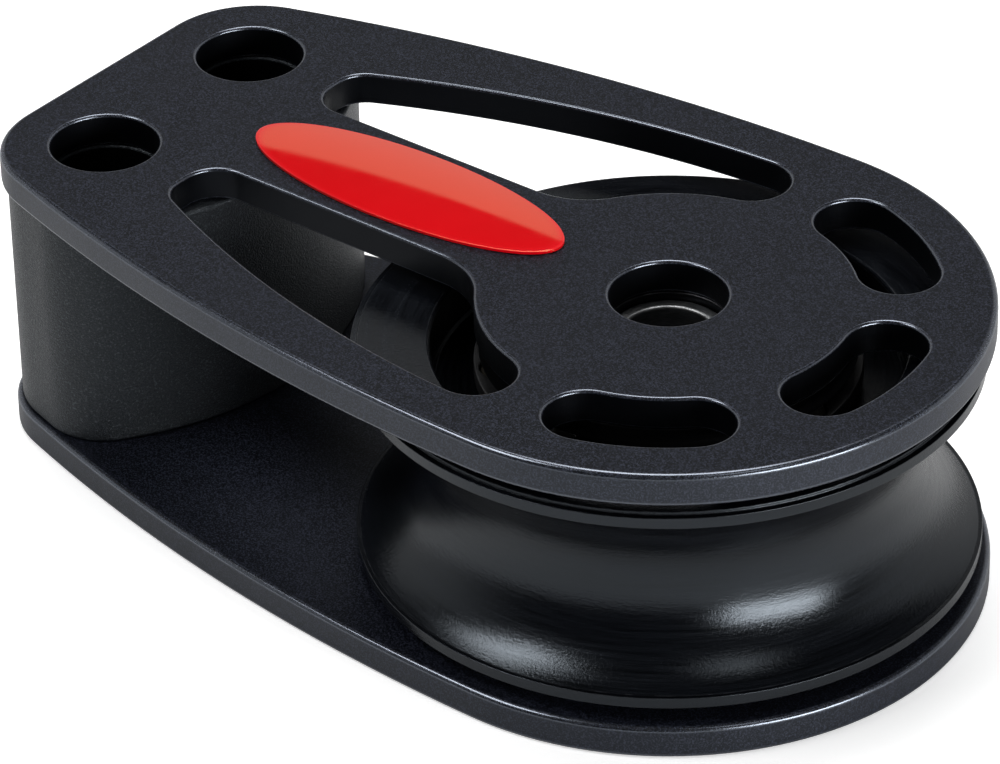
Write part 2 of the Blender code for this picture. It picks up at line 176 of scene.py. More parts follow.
def shifted(edge, distance):
    """The same edge moved toward the inside of the outline."""
    if edge["kind"] == "line":
        normal = Vector((-edge["d"].y, edge["d"].x))
        return {"kind": "line", "p": edge["p"] + normal * distance, "d": edge["d"]}
    radius = edge["r"] - edge["turn"] * distance
    return {"kind": "arc", "c": edge["c"], "r": radius, "turn": edge["turn"]}


def line_line(a, b):
    cross = a["d"].x * b["d"].y - a["d"].y * b["d"].x
    gap = b["p"] - a["p"]
    return [a["p"] + a["d"] * ((gap.x * b["d"].y - gap.y * b["d"].x) / cross)]


def line_arc(a, b):
    foot = a["p"] + a["d"] * (b["c"] - a["p"]).dot(a["d"])
    half = math.sqrt(max(0.0, b["r"] ** 2 - (foot - b["c"]).length_squared))
    return [foot + a["d"] * half, foot - a["d"] * half]


def arc_arc(a, b):
    gap = b["c"] - a["c"]
    span = gap.length
    along = (span ** 2 + a["r"] ** 2 - b["r"] ** 2) / (2.0 * span)
    half = math.sqrt(max(0.0, a["r"] ** 2 - along ** 2))
    unit = gap / span
    side = Vector((-unit.y, unit.x)) * half
    return [a["c"] + unit * along + side, a["c"] + unit * along - side]


def crossing(a, b, near):
    """The point where two edges cross, the one nearest to the given place."""
    kinds = (a["kind"], b["kind"])
    if kinds == ("line", "line"):
        found = line_line(a, b)
    elif kinds == ("line", "arc"):
        found = line_arc(a, b)
    elif kinds == ("arc", "line"):
        found = line_arc(b, a)
    else:
        found = arc_arc(a, b)
    return min(found, key=lambda p: (p - near).length)


def touch_point(edge, centre):
    """Where a fillet with this centre meets the edge."""
    if edge["kind"] == "line":
        return edge["p"] + edge["d"] * (centre - edge["p"]).dot(edge["d"])
    return edge["c"] + (centre - edge["c"]).normalized() * edge["r"]


def sweep(centre, radius, start, end, turn):
    """Points on a circle from start up to, but not with, end."""
    first = math.atan2(start.y - centre.y, start.x - centre.x)
    last = math.atan2(end.y - centre.y, end.x - centre.x)
    angle = (last - first) * turn % (2.0 * math.pi)
    if angle > 2.0 * math.pi - SMALL_ANGLE:
        angle = 0.0
    step = 2.0 * math.acos(1.0 - SAG / radius)
    count = max(1, math.ceil(angle / step - SMALL_ANGLE))
    points = []
    for index in range(count):
        a = first + turn * angle * index / count
        points.append(centre + Vector((math.cos(a), math.sin(a))) * radius)
    return points


def outline(edges, fillets, corners):
    """Counter-clockwise loop: edge i runs into edge i + 1 through fillet i."""
    count = len(edges)
    centres = []
    for index in range(count):
        a = shifted(edges[index], fillets[index])
        b = shifted(edges[(index + 1) % count], fillets[index])
        centres.append(crossing(a, b, Vector(corners[index])))
    loop = []
    for index in range(count):
        edge = edges[index]
        after = edges[(index + 1) % count]
        start = touch_point(edge, centres[index - 1])
        end = touch_point(edge, centres[index])
        if edge["kind"] == "line":
            loop.append(start)
        elif (end - start).length > SHORT_ARC:
            loop += sweep(edge["c"], edge["r"], start, end, edge["turn"])
        loop += sweep(centres[index], fillets[index], end, touch_point(after, centres[index]), 1)
    return loop


def circle(x, y, radius, count=HOLE_STEPS):
    angles = [2.0 * math.pi * index / count for index in range(count)]
    return [Vector((x + math.cos(a) * radius, y + math.sin(a) * radius)) for a in angles]


def plate_loop():
    """Round end, two long flanks and a straight heel with rounded corners."""
    away = FLANK_R - PLATE_R
    edges = [arc(0, away, FLANK_R, 1), arc(0, -away, FLANK_R, 1), line(HEEL_X, 0, 0, -1)]
    corners = [(0.0, 0.0), (HEEL_X, PLATE_R), (HEEL_X, -PLATE_R)]
    return outline(edges, [PLATE_R, HEEL_CORNER_R, HEEL_CORNER_R], corners)


def window_loop(side):
    """Long opening on one side of the spine; side is -1 or 1."""
    edges = [
        line(0.0, -SPINE_HALF, -1.0, 0.0),
        line(WINDOW_HEEL_X, 0.0, 0.0, -1.0),
        arc(*WINDOW_ARC, 1),
        arc(0.0, 0.0, HUB_R, -1),
    ]
    corners = [
        (WINDOW_HEEL_X, -SPINE_HALF),
        (WINDOW_HEEL_X, -PLATE_R / 2.0),
        (0.0, -PLATE_R),
        (-HUB_R, -SPINE_HALF),
    ]
    loop = outline(edges, list(WINDOW_FILLETS), corners)
    if side < 0:
        return loop
    return [Vector((p.x, -p.y)) for p in reversed(loop)]


def slot_loop(turned):
    """Curved slot round the hub, centred on the given angle."""
    half = math.radians(SLOT_HALF_ANGLE)
    turn = math.radians(turned)
    outer = SLOT_MID_R + SLOT_HALF_W
    inner = SLOT_MID_R - SLOT_HALF_W
    first = Vector((math.cos(turn - half), math.sin(turn - half)))
    last = Vector((math.cos(turn + half), math.sin(turn + half)))
    loop = sweep(ORIGIN, outer, first, last, 1)
    loop += sweep(last * SLOT_MID_R, SLOT_HALF_W, last * outer, last * inner, 1)
    loop += sweep(ORIGIN, inner, last, first, -1)
    loop += sweep(first * SLOT_MID_R, SLOT_HALF_W, first * inner, first * outer, 1)
    return loop


def spacer_loop():
    """Heel block: follows the plates' outline and ends in a bowed face toward the sheave."""
    inset = SPACER_INSET
    away = FLANK_R - PLATE_R
    edges = [
        line(HEEL_X + inset, 0.0, 0.0, -1.0),
        arc(0.0, away, FLANK_R - inset, 1),
        arc(SPACER_FACE_X - SPACER_FACE_R, 0.0, SPACER_FACE_R, 1),
        arc(0.0, -away, FLANK_R - inset, 1),
    ]
    heel = HEEL_CORNER_R - inset
    corners = [
        (HEEL_X, -PLATE_R),
        (SPACER_FACE_X, -PLATE_R),
        (SPACER_FACE_X, PLATE_R),
        (HEEL_X, PLATE_R),
    ]
    return outline(edges, [heel, SPACER_FILLET, SPACER_FILLET, heel], corners)


# ---- solids ---------------------------------------------------------------------------
class Shape:
    """Points with exact normals and an edge weight, and the faces between them."""

    def __init__(self):
        self.points = []
        self.normals = []
        self.edges = []
        self.faces = []

    def ring(self, points, normals, edge):
        first = len(self.points)
        self.points += points
        self.normals += normals
        self.edges += [edge] * len(points)
        return list(range(first, len(self.points)))

    def join(self, low, high, flip=False):
        count = len(low)
        for index in range(count):
            after = (index + 1) % count
            face = [low[index], low[after], high[after], high[index]]
            face = [v for i, v in enumerate(face) if v != face[i - 1]]
            self.faces.append(face[::-1] if flip else face)

    def cap(self, rings, up):
        """Flat face bounded by the first ring, open inside the others."""
        flat = [[self.points[i] for i in ring] for ring in rings]
        order = [i for ring in rings for i in ring]
        for a, b, c in tessellate_polygon(flat):
            p, q, r = (self.points[order[i]] for i in (a, b, c))
            facing = (q - p).cross(r - p).z > 0.0
            face = [order[a], order[b], order[c]]
            self.faces.append(face if facing == up else face[::-1])

    def mesh(self, name, paint):
        made = bpy.data.meshes.new(name)
        made.from_pydata([tuple(p) for p in self.points], [], self.faces)
        made.shade_smooth()
        made.normals_split_custom_set_from_vertices([tuple(n) for n in self.normals])
        weight = made.attributes.new("edge", "FLOAT", "POINT")
        weight.data.foreach_set("value", self.edges)
        made.materials.append(paint)
        made.validate()
        return made


def loop_frame(loop):
    """(corner normal, mitre stretch) at each point, pointing out of the loop."""
    found = []
    for index, point in enumerate(loop):
        back = (point - loop[index - 1]).normalized()
        ahead = (loop[(index + 1) % len(loop)] - point).normalized()
        normal = Vector((back.y + ahead.y, -back.x - ahead.x)).normalized()
        found.append((normal, max(0.5, normal.dot(Vector((ahead.y, -ahead.x))))))
    return found


def add_wall(shape, loop, bottom, top, radius, hole):
    """Wall with both edges rounded; returns its lowest and highest ring."""
    frames = loop_frame(loop)
    side = -1.0 if hole else 1.0
    rings = []
    turns = [math.pi / 2.0 * step / ROUND_STEPS for step in range(ROUND_STEPS + 1)]
    low = [(t, bottom + radius * (1.0 - math.cos(t)), -1.0) for t in turns]
    high = [(t, top - radius * (1.0 - math.cos(t)), 1.0) for t in reversed(turns)]
    for turn, z, up in low + high:
        inset = radius * (1.0 - math.sin(turn)) * side
        points = []
        normals = []
        for point, (normal, stretch) in zip(loop, frames):
            moved = point - normal * inset / stretch
            out = normal * side * math.sin(turn)
            points.append(Vector((moved.x, moved.y, z)))
            normals.append(Vector((out.x, out.y, up * math.cos(turn))))
        inner = hole and turn == turns[-1]
        rings.append(shape.ring(points, normals, -1.0 if inner else math.sin(2.0 * turn)))
    for a, b in zip(rings, rings[1:]):
        shape.join(a, b, flip=hole)
    return rings[0], rings[-1]


def plate_shape(outer, holes, bottom, top, outer_round, hole_round):
    """Flat plate with openings, every edge rounded."""
    shape = Shape()
    ends = [add_wall(shape, outer, bottom, top, outer_round, False)]
    for loop in holes:
        ends.append(add_wall(shape, loop, bottom, top, hole_round, True))
    shape.cap([low for low, high in ends], up=False)
    shape.cap([high for low, high in ends], up=True)
    return shape


def softened(profile, cut, closed):
    """Profile with its sharp corners rounded, as (point, normal, edge weight) rows.

    The outside of the solid lies to the right of the profile's direction.
    """
    count = len(profile)
    points = []
    for index in range(count):
        here = Vector(profile[index])
        if not closed and index in (0, count - 1):
            other = Vector(profile[1 if index == 0 else -2])
            along = (other - here) if index == 0 else (here - other)
            points.append((here, Vector((along.y, -along.x)).normalized(), 0.0))
            continue
        back = here - Vector(profile[index - 1])
        ahead = Vector(profile[(index + 1) % count]) - here
        before = Vector((back.y, -back.x)).normalized()
        after = Vector((ahead.y, -ahead.x)).normalized()
        if back.angle(ahead) < math.radians(SMOOTH_BEND):
            points.append((here, (before + after).normalized(), 0.0))
            continue
        start = here - back.normalized() * min(cut, back.length * LONGEST_CUT)
        end = here + ahead.normalized() * min(cut, ahead.length * LONGEST_CUT)
        for step in range(CORNER_STEPS + 1):
            t = step / CORNER_STEPS
            p = start * (1 - t) ** 2 + here * 2 * t * (1 - t) + end * t ** 2
            normal = (before * (1 - t) + after * t).normalized()
            points.append((p, normal, math.sin(math.pi * t)))
    return points


def lathe(profile, cut, steps, closed=True):
    """Solid of revolution; a profile that starts and ends on the axis is not closed."""
    shape = Shape()
    rings = []
    turns = [2.0 * math.pi * index / steps for index in range(steps)]
    spokes = [Vector((math.cos(a), math.sin(a))) for a in turns]
    for point, normal, edge in softened(profile, cut, closed):
        if point.x < ON_AXIS:
            pole = shape.ring([Vector((0.0, 0.0, point.y))], [Vector((0, 0, normal.y))], edge)
            rings.append(pole * steps)
            continue
        points = [Vector((s.x * point.x, s.y * point.x, point.y)) for s in spokes]
        normals = [Vector((s.x * normal.x, s.y * normal.x, normal.y)) for s in spokes]
        rings.append(shape.ring(points, normals, edge))
    if closed:
        rings.append(rings[0])
    for low, high in zip(rings, rings[1:]):
        shape.join(low, high)
    return shape


def piece(name, mesh, body, node, at=(0.0, 0.0, 0.0), turn=(0.0, 0.0, 0.0)):
    """A shown piece that stands for one CAD node; at is given from the sheave axis."""
    obj = bpy.data.objects.new(name, mesh)
    bpy.context.scene.collection.objects.link(obj)
    obj.location = Vector(at) + Vector((AXLE_X, 0.0, 0.0))
    obj.rotation_euler = turn
    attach(obj, body)
    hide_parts(node)
    return obj


# ---- materials ------------------------------------------------------------------------
# Colours are linear, grain is in features per metre and relief in metres.
SHARE_SPAN = (0.0, 1.0)
NOISE_SPAN = (0.3, 0.7)

PLATE_GRAIN = 4700.0
PLATE_CLOUD = 55.0
PLATE_CHIPS = 900.0
PLATE_DARK = (0.0003, 0.0005, 0.0014, 1.0)
PLATE_LIGHT = (0.0260, 0.0295, 0.0450, 1.0)
# painted shade on the straight walls of the plate openings
PLATE_BORE_SHADE = (0.0012, 0.0014, 0.0020, 1.0)
PLATE_WORN = (0.085, 0.088, 0.095, 1.0)
PLATE_SHEEN = (0.78, 0.86, 1.0, 1.0)
PLATE_RELIEF = 0.00005
PLATE_FACE_IOR = 1.26
PLATE_WALL_IOR = 1.54
PLATE_EDGE_IOR_GAIN = 0.75

SPACER_GRAIN = 4400.0
# painted glints: scale and colour of pale flecks that stand in for sparkle
SPACER_GLINT_SCALE = 3700.0
SPACER_DARK = (0.0003, 0.0004, 0.0007, 1.0)
SPACER_LIGHT = (0.0110, 0.0122, 0.0155, 1.0)
SPACER_GLINT = (0.070, 0.076, 0.088, 1.0)
# painted shade on the walls of the spacer's bolt holes
SPACER_BORE_SHADE = (0.0010, 0.0011, 0.0012, 1.0)
SPACER_SHEEN = (0.82, 0.92, 1.0, 1.0)
SPACER_PIT_DEPTH = 0.00006
SPACER_RELIEF = 0.00010
SPACER_IOR = 1.48
SPACER_BORE_SHADE_IOR = 1.2

BADGE_CLOUD = 140.0
BADGE_HAZE = 600.0
BADGE_SWELL = 260.0
BADGE_DEEP = (0.68, 0.0004, 0.0060, 1.0)
BADGE_BRIGHT = (0.75, 0.0008, 0.0080, 1.0)
BADGE_RIM = (0.75, 0.16, 0.16, 1.0)
BADGE_SHEEN = (1.0, 0.85, 0.40, 1.0)
BADGE_RELIEF = 0.00001
BADGE_IOR_ACROSS = 2.4
BADGE_IOR_ABOVE = 1.45
BADGE_IOR_RIM = 1.4

TURNED_GRAIN = 5200.0
TURNED_RIPPLE = 2300.0
TURNED_WEAR = 700.0
TURNED_STRETCH = 0.0012
TURNED_SHEEN = (0.80, 0.90, 1.0, 1.0)
# painted shade laid into the sheave's recess
TURNED_PAINTED_SHADE = (0.0004, 0.0004, 0.0005, 1.0)
SHEAVE_DARK = (0.0005, 0.0006, 0.0010, 1.0)
SHEAVE_LIGHT = (0.0042, 0.0050, 0.0072, 1.0)
# Painted shade: the steel inner race is darkened to near black, as it sits in the shaded recess;
# the two tones are its turning marks.
RACE_SHADED_DARK = (0.008, 0.008, 0.009, 1.0)
RACE_SHADED_LIGHT = (0.022, 0.022, 0.024, 1.0)
BUSH_DARK = (0.13, 0.135, 0.14, 1.0)
BUSH_LIGHT = (0.28, 0.285, 0.29, 1.0)
# Painted shade: the steel thrust washers are darkened to near black, as they sit in the shaded
# recess; the two tones are their turning marks.
WASHER_SHADED_DARK = (0.004, 0.004, 0.005, 1.0)
WASHER_SHADED_LIGHT = (0.012, 0.012, 0.013, 1.0)

MOULDED_FLOW = 420.0
MOULDED_PEEL = 2600.0
MOULDED_RELIEF = 0.00002
MOULDED_IOR = 1.48
CAGE_DARK = (0.003, 0.003, 0.0035, 1.0)
CAGE_LIGHT = (0.009, 0.009, 0.010, 1.0)
ROLLING_DARK = (0.010, 0.009, 0.007, 1.0)
ROLLING_LIGHT = (0.026, 0.023, 0.018, 1.0)


def lighter(colour, gain, lift=0.0):
    """The colour made brighter, with its alpha left at one."""
    return tuple(min(1.0, part * gain + lift) for part in colour[:3]) + (1.0,)


class Paint:
    """A node material under construction.

    edge is 1 on rounded edges and 0 on faces; inside is 1 on the straight walls of openings.
    """

    def __init__(self, name):
        self.material = bpy.data.materials.new(name)
        self.material.use_nodes = True
        self.tree = self.material.node_tree
        self.shader = self.tree.nodes["Principled BSDF"]
        self.place = self.node("ShaderNodeTexCoord").outputs["Object"]
        mark = self.node("ShaderNodeAttribute", attribute_name="edge").outputs["Fac"]
        widened = self.math("MAXIMUM", self.times(mark, 1.5), 0.0)
        self.edge = self.math("MINIMUM", widened, 1.0)
        self.inside = self.math("MAXIMUM", self.times(mark, -1.0), 0.0)

    def node(self, kind, links=(), **settings):
        made = self.tree.nodes.new(kind)
        for key, value in settings.items():
            setattr(made, key, value)
        for key, value in dict(links).items():
            self.put(made.inputs[key], value)
        return made

    def put(self, socket, value):
        if isinstance(value, bpy.types.NodeSocket):
            self.tree.links.new(value, socket)
        else:
            socket.default_value = value

    def noise(self, scale, detail=2.0, roughness=0.5, vector=None):
        links = {"Vector": vector or self.place, "Scale": scale, "Detail": detail,
                 "Roughness": roughness}
        return self.node("ShaderNodeTexNoise", links).outputs[0]

    def cells(self, scale):
        links = {"Vector": self.place, "Scale": scale}
        return self.node("ShaderNodeTexVoronoi", links).outputs["Distance"]

    def math(self, operation, a, b=0.0):
        made = self.node("ShaderNodeMath", operation=operation)
        self.put(made.inputs[0], a)
        self.put(made.inputs[1], b)
        return made.outputs[0]

    def plus(self, a, b):
        return self.math("ADD", a, b)

    def minus(self, a, b):
        return self.math("SUBTRACT", a, b)

    def times(self, a, b):
        return self.math("MULTIPLY", a, b)

    def scaled(self, value, low, high, to_low, to_high):
        links = {"Value": value, "From Min": low, "From Max": high, "To Min": to_low,
                 "To Max": to_high}
        return self.node("ShaderNodeMapRange", links).outputs[0]

    def spread(self, value, to_low, to_high):
        """A noise value with its usual span stretched to the given one."""
        return self.scaled(value, *NOISE_SPAN, to_low, to_high)

    def between(self, share, a, b):
        """a where the share is 0, b where it is 1."""
        return self.scaled(share, *SHARE_SPAN, a, b)

    def mix(self, share, a, b):
        links = {"Fac": share, "Color1": a, "Color2": b}
        return self.node("ShaderNodeMixRGB", links).outputs[0]

    def bump(self, height, distance, strength=1.0, below=None):
        links = {"Height": height, "Distance": distance, "Strength": strength}
        if below:
            links["Normal"] = below
        return self.node("ShaderNodeBump", links).outputs[0]

    def part(self, vector, axis):
        return self.node("ShaderNodeSeparateXYZ", {"Vector": vector}).outputs[axis]

    def around(self, stretch):
        """Coordinates round the local Z axis: radius, height and a stretched angle."""
        parts = self.node("ShaderNodeSeparateXYZ", {"Vector": self.place}).outputs
        square = self.plus(self.math("POWER", parts[0], 2.0), self.math("POWER", parts[1], 2.0))
        radius = self.math("SQRT", square)
        angle = self.math("ARCTAN2", parts[1], parts[0])
        links = {"X": radius, "Y": parts[2], "Z": self.times(angle, stretch)}
        return self.node("ShaderNodeCombineXYZ", links).outputs[0]

    def done(self, colour, roughness, metallic=0.0, normal=None, **extra):
        self.put(self.shader.inputs["Base Color"], colour)
        self.put(self.shader.inputs["Roughness"], roughness)
        self.put(self.shader.inputs["Metallic"], metallic)
        if normal:
            self.put(self.shader.inputs["Normal"], normal)
        for key, value in extra.items():
            self.put(self.shader.inputs[key.replace("_", " ")], value)
        return self.material


def anodised_plate():
    """Hard black anodising: fine bluish grain, smooth bright edges, painted shade darkening the
    bores.
    """
    paint = Paint("hard_anodised")
    grain = paint.noise(PLATE_GRAIN, 3.0, 0.80)
    speck = paint.scaled(grain, 0.50, 0.58, 0.0, 1.0)
    colour = paint.mix(speck, PLATE_DARK, PLATE_LIGHT)
    # Painted shade: the straight walls of the openings are pulled to a near-black colour.
    colour = paint.mix(paint.inside, colour, PLATE_BORE_SHADE)
    chips = paint.scaled(paint.noise(PLATE_CHIPS, 4.0), 0.42, 0.66, 0.15, 0.9)
    worn = paint.times(paint.edge, chips)
    colour = paint.mix(paint.times(worn, 0.15), colour, PLATE_WORN)
    cloud = paint.noise(PLATE_CLOUD, 3.0, 0.5)
    rough = paint.plus(paint.spread(cloud, 0.36, 0.44), paint.spread(grain, -0.05, 0.05))
    rough = paint.minus(rough, paint.times(paint.edge, 0.17))
    relief = paint.minus(0.50, paint.times(paint.edge, 0.46))
    normal = paint.bump(grain, PLATE_RELIEF, relief)
    upright = paint.part(paint.node("ShaderNodeTexCoord").outputs["Normal"], 2)
    wall = paint.minus(1.0, paint.math("ABSOLUTE", upright))
    open_wall = paint.times(wall, paint.minus(1.0, paint.inside))
    index = paint.between(open_wall, PLATE_FACE_IOR, PLATE_WALL_IOR)
    index = paint.plus(index, paint.between(paint.edge, 0.0, PLATE_EDGE_IOR_GAIN))
    return paint.done(colour, rough, 0.0, normal, IOR=index, Specular_Tint=PLATE_SHEEN)


def blasted_spacer():
    """Grit-blasted black alloy: pitted, with pale flecks painted in as glints and painted shade
    in the bolt holes.
    """
    paint = Paint("blasted_alloy")
    grain = paint.noise(SPACER_GRAIN, 3.0, 0.80)
    speck = paint.scaled(grain, 0.46, 0.60, 0.0, 1.0)
    # Painted glints: pale flecks in the colour stand in for the sparkle of the blasted facets.
    painted_glint = paint.scaled(paint.noise(SPACER_GLINT_SCALE, 1.0, 0.4), 0.60, 0.70, 0.0, 1.0)
    base = paint.mix(speck, SPACER_DARK, SPACER_LIGHT)
    colour = paint.mix(paint.times(painted_glint, 0.45), base, SPACER_GLINT)
    # Painted shade: the walls of the bolt holes are darkened to near black.
    colour = paint.mix(paint.inside, colour, SPACER_BORE_SHADE)
    rough = paint.spread(grain, 0.50, 0.30)
    normal = paint.bump(paint.cells(SPACER_GRAIN), SPACER_PIT_DEPTH, 0.7)
    normal = paint.bump(grain, SPACER_RELIEF, 0.9, normal)
    # The weaker reflection on the bolt-hole walls belongs to the same painted shade.
    index = paint.between(paint.inside, SPACER_IOR, SPACER_BORE_SHADE_IOR)
    return paint.done(colour, rough, 0.0, normal, IOR=index, Specular_Tint=SPACER_SHEEN)


def badge_resin():
    """Clear red resin: glossy across the dome, calmer from straight above and at its rim."""
    paint = Paint("red_dome_resin")
    colour = paint.mix(paint.noise(BADGE_CLOUD, 2.0), BADGE_DEEP, BADGE_BRIGHT)
    colour = paint.mix(paint.times(paint.edge, 0.10), colour, BADGE_RIM)
    rough = paint.spread(paint.noise(BADGE_HAZE, 2.0), 0.05, 0.09)
    normal = paint.bump(paint.noise(BADGE_SWELL, 1.0), BADGE_RELIEF, 0.25)
    slant = paint.node("ShaderNodeLayerWeight", {"Blend": 0.5}).outputs["Facing"]
    index = paint.scaled(slant, 0.10, 0.42, BADGE_IOR_ABOVE, BADGE_IOR_ACROSS)
    rim = paint.scaled(paint.edge, 0.0, 0.6, BADGE_IOR_ACROSS, BADGE_IOR_RIM)
    index = paint.math("MINIMUM", index, rim)
    return paint.done(colour, rough, 0.0, normal, IOR=index, Specular_Tint=BADGE_SHEEN)


def turned(name, dark, light, rough, metallic, marks, depth, wear=0.25, ior=1.45, painted_shade_within=0.0):
    """Lathe-cut surface: fine rings round the axis that break up along their length."""
    paint = Paint(name)
    round_coords = paint.around(TURNED_STRETCH)
    rings = paint.noise(marks, 4.0, 0.68, round_coords)
    broad = paint.noise(marks * 0.16, 3.0, 0.55, round_coords)
    grain = paint.noise(TURNED_GRAIN, 2.0, 0.6)
    tone = paint.plus(paint.times(rings, 0.6), paint.times(broad, 0.4))
    colour = paint.mix(paint.scaled(tone, 0.36, 0.66, 0.0, 1.0), dark, light)
    chips = paint.scaled(paint.noise(TURNED_WEAR, 3.0), 0.4, 0.65, 0.2, 1.0)
    worn = paint.times(paint.edge, chips)
    colour = paint.mix(paint.times(worn, wear), colour, lighter(light, 3.5, 0.05))
    roughness = paint.plus(paint.scaled(tone, 0.35, 0.65, rough - 0.06, rough + 0.06),
                           paint.spread(grain, -0.03, 0.03))
    normal = paint.bump(rings, depth, 0.8)
    normal = paint.bump(grain, depth * 2.0, 0.6, normal)
    normal = paint.bump(paint.noise(TURNED_RIPPLE, 3.0, 0.65), depth * 2.6, 0.7, normal)
    # Painted shade: inside the given radius the colour is pulled toward a near-black shade colour
    # and the reflection is weakened.
    painted_shade_mask = paint.math("LESS_THAN", paint.part(round_coords, 0), painted_shade_within)
    colour = paint.mix(paint.times(painted_shade_mask, 0.7), colour, TURNED_PAINTED_SHADE)
    index = paint.between(painted_shade_mask, ior, 1.0 + (ior - 1.0) * 0.4)
    return paint.done(colour, roughness, metallic, normal, IOR=index, Specular_Tint=TURNED_SHEEN)


def moulded(name, dark, light, rough):
    """Moulded plastic: soft mottling, a faint flow grain and a slight orange peel."""
    paint = Paint(name)
    flow = paint.noise(MOULDED_FLOW, 4.0, 0.6)
    peel = paint.noise(MOULDED_PEEL, 2.0, 0.5)
    colour = paint.mix(paint.scaled(flow, 0.35, 0.68, 0.0, 1.0), dark, light)
    colour = paint.mix(paint.times(paint.edge, 0.3), colour, lighter(light, 2.0))
    roughness = paint.spread(peel, rough - 0.06, rough + 0.08)
    normal = paint.bump(peel, MOULDED_RELIEF, 0.5)
    return paint.done(colour, roughness, 0.0, normal, IOR=MOULDED_IOR)


# ---- pieces ---------------------------------------------------------------------------
def fixing_loops():
    return [circle(BOLT_X, side * BOLT_Y, BOLT_HOLE_R) for side in (-1, 1)]


def add_plates():
    paint = anodised_plate()
    holes = fixing_loops() + [circle(0.0, 0.0, AXLE_HOLE_R)]
    windows = [window_loop(side) for side in (-1, 1)]
    slots = [slot_loop(turned_by) for turned_by in SLOT_ANGLES]
    rows = (
        ("plate_base", "base_plate", holes),
        ("plate_top", "top_plate", holes + windows + slots),
    )
    for name, node, openings in rows:
        low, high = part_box(node)
        shape = plate_shape(plate_loop(), openings, low.z, high.z, OUTER_ROUND, HOLE_ROUND)
        piece(name, shape.mesh(name, paint), "frame", node)


def add_spacer():
    low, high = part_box("heel_spacer")
    loop = spacer_loop()
    shape = plate_shape(loop, fixing_loops(), low.z, high.z, SPACER_ROUND, SPACER_ROUND)
    mesh = shape.mesh("spacer_heel", blasted_spacer())
    piece("spacer_heel", mesh, "frame", "heel_spacer")


def add_badge():
    """Domed elliptical resin badge with a low upright wall and a rounded rim."""
    turns = [2.0 * math.pi * index / BADGE_STEPS for index in range(BADGE_STEPS)]
    shape = Shape()
    shown = []
    wall = [(0.0, 0.0, 0.0), (0.0, BADGE_EDGE_H - BADGE_ROUND, 0.0)]
    for a in BADGE_ROUND_TURNS:
        inset = BADGE_ROUND * (1 - math.cos(a))
        wall.append((inset, BADGE_EDGE_H - BADGE_ROUND * (1 - math.sin(a)), a))
    for inset, z, a in wall:
        points = []
        normals = []
        for t in turns:
            out = Vector((math.cos(t) / BADGE_HALF_L, math.sin(t) / BADGE_HALF_W)).normalized()
            p = Vector((math.cos(t) * BADGE_HALF_L, math.sin(t) * BADGE_HALF_W)) - out * inset
            points.append(Vector((p.x, p.y, z)))
            normals.append(Vector((out.x * math.cos(a), out.y * math.cos(a), math.sin(a))))
        shown.append(shape.ring(points, normals, min(1.0, a)))
    foot = shown[0]
    for index in range(BADGE_RINGS):
        s = BADGE_DOME_START * (1.0 - index / BADGE_RINGS)
        points = []
        normals = []
        for t in turns:
            x = math.cos(t) * BADGE_HALF_L * s
            y = math.sin(t) * BADGE_HALF_W * s
            points.append(Vector((x, y, BADGE_EDGE_H + BADGE_DOME_H * (1.0 - s * s))))
            slope = Vector((2.0 * BADGE_DOME_H * x / BADGE_HALF_L ** 2,
                            2.0 * BADGE_DOME_H * y / BADGE_HALF_W ** 2, 1.0))
            normals.append(slope.normalized())
        shown.append(shape.ring(points, normals, BADGE_FIRST_EDGE if index == 0 else 0.0))
    top = shape.ring([Vector((0, 0, BADGE_EDGE_H + BADGE_DOME_H))], [Vector((0, 0, 1))], 0.0)
    shown.append(top * BADGE_STEPS)
    for low, high in zip(shown, shown[1:]):
        shape.join(low, high)
    shape.cap([foot], up=False)
    mesh = shape.mesh("badge_dome", badge_resin())
    at = (BADGE_X, 0.0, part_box("badge")[0].z)
    piece("badge_dome", mesh, "frame", "badge", at)


def sheave_half():
    """Upper half of the section, from the roller track out to the groove's throat."""
    wall = [
        (TRACK_R, RECESS_TOP - RECESS_CHAMFER),
        (TRACK_R + RECESS_CHAMFER, RECESS_TOP),
        (RECESS_R - RECESS_CHAMFER, RECESS_TOP),
        (RECESS_R, RECESS_TOP + RECESS_CHAMFER),
        (RECESS_R, SIDE_TOP - RECESS_CHAMFER),
        (RECESS_R + RECESS_CHAMFER, SIDE_TOP),
        (SIDE_R, SIDE_TOP),
        (SIDE_R + RIM_BREAK, RIM_TOP),
        (RIM_R, RIM_TOP),
        (RIM_R, RIM_LAND),
    ]
    depth = LIP_R - THROAT_R
    radius = (RIM_LAND ** 2 + depth ** 2) / (2.0 * depth)
    span = math.asin(RIM_LAND / radius)
    groove = []
    for index in range(GROOVE_STEPS):
        a = span * (1.0 - index / GROOVE_STEPS)
        groove.append((THROAT_R + radius * (1.0 - math.cos(a)), radius * math.sin(a)))
    return wall + groove


def add_sheave():
    half = sheave_half()
    profile = half + [(THROAT_R, 0.0)] + [(r, -z) for r, z in reversed(half)]
    shape = lathe(list(reversed(profile)), SHEAVE_BREAK, SHEAVE_STEPS)
    # The sheave's recess, inside its chamfer, gets painted shade.
    paint = turned("turned_anodised", SHEAVE_DARK, SHEAVE_LIGHT, rough=0.20, metallic=0.0,
                   marks=3200.0, depth=0.000012, ior=1.48,
                   painted_shade_within=RECESS_R + RECESS_CHAMFER * 0.5)
    mesh = shape.mesh("sheave_turned", paint)
    piece("sheave_turned", mesh, "sheave", "sheave", (0.0, 0.0, MID_Z))


def ring_section(inner, outer, half):
    return [(inner, half), (inner, -half), (outer, -half), (outer, half)]


